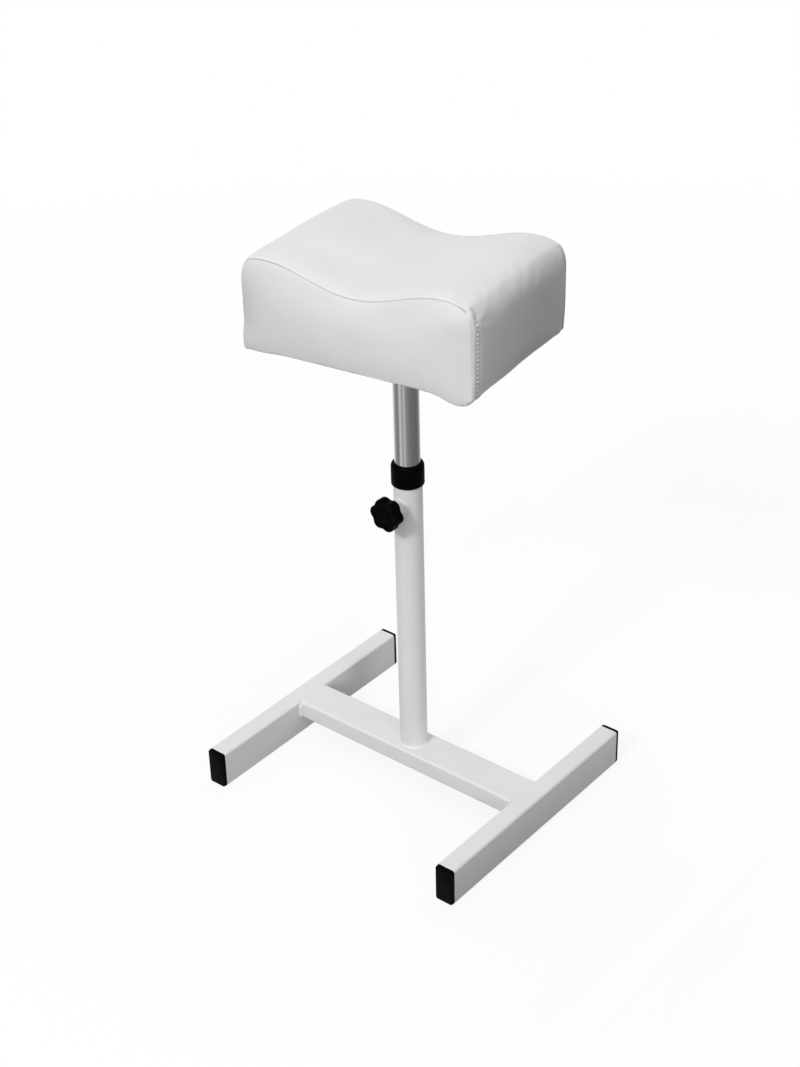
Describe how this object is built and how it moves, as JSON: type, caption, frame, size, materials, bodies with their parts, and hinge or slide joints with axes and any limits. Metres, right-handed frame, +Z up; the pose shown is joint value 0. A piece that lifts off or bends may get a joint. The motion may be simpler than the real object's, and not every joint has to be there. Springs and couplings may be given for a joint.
{
  "type": "pedicure footrest",
  "caption": "Height-adjustable pedicure footrest: a saddle-topped padded rest on a chromed tube that slides and turns in a clamped post on a welded H-shaped base.",
  "frame": {"origin": "on the floor, on the post's axis, in the middle of the base", "axes": "+Z up along the post, +X along the cross bar, -Y towards the clamp knob"},
  "size_m": [0.315, 0.278, 0.5856],
  "materials": {
    "painted_steel": "satin",
    "black_plastic": "satin",
    "natural_nylon": "satin",
    "zinc_plated_steel": "satin",
    "chromed_steel": "polished",
    "plywood": "matte",
    "foam": "matte",
    "white_leathercloth": "satin",
    "black_felt": "matte"
  },
  "bodies": {
    "stand": {"left_rail": "painted_steel", "right_rail": "painted_steel", "cross_bar": "painted_steel", "rail_weld_beads": "painted_steel", "end_plug_front_left": "black_plastic", "end_plug_front_right": "black_plastic", "end_plug_rear_left": "black_plastic", "end_plug_rear_right": "black_plastic", "outer_post": "painted_steel", "post_weld_bead": "painted_steel", "post_collar": "black_plastic", "clamp_boss": "painted_steel", "boss_weld_bead": "painted_steel"},
    "carriage": {"guide_bush": "black_plastic"},
    "pad_head": {"inner_tube": "chromed_steel", "top_plate": "painted_steel", "plate_weld_bead": "painted_steel", "pad_screws": "zinc_plated_steel", "pad_washers": "zinc_plated_steel", "tee_nuts": "zinc_plated_steel", "pad_board": "plywood", "pad_foam": "foam", "cover_strip": "white_leathercloth", "cover_front_panel": "white_leathercloth", "cover_rear_panel": "white_leathercloth", "dust_cover": "black_felt", "staples": "zinc_plated_steel"},
    "clamp_follower": {"clamp_tip": "natural_nylon"},
    "clamp_knob": {"star_knob": "black_plastic", "clamp_stud": "zinc_plated_steel"}
  },
  "joints": [
    {"name": "height_slide", "type": "slide", "parent": "stand", "child": "carriage", "axis": [0, 0, 1], "range_m": [-0.121, 0.12]},
    {"name": "pad_swivel", "type": "hinge", "parent": "carriage", "child": "pad_head", "pos_m": [0, 0, 0.3], "axis": [0, 0, 1], "continuous": true},
    {"name": "clamp_travel", "type": "slide", "parent": "stand", "child": "clamp_follower", "axis": [0, -1, 0], "range_m": [0, 0.0025]},
    {"name": "knob_turn", "type": "hinge", "parent": "clamp_follower", "child": "clamp_knob", "pos_m": [0, -0.03, 0.323], "axis": [0, -1, 0], "range_deg": [0, 720]}
  ],
  "couplings": [
    {"joint": "clamp_travel", "follows": "knob_turn", "m_per_rad": 0.00019894}
  ]
}
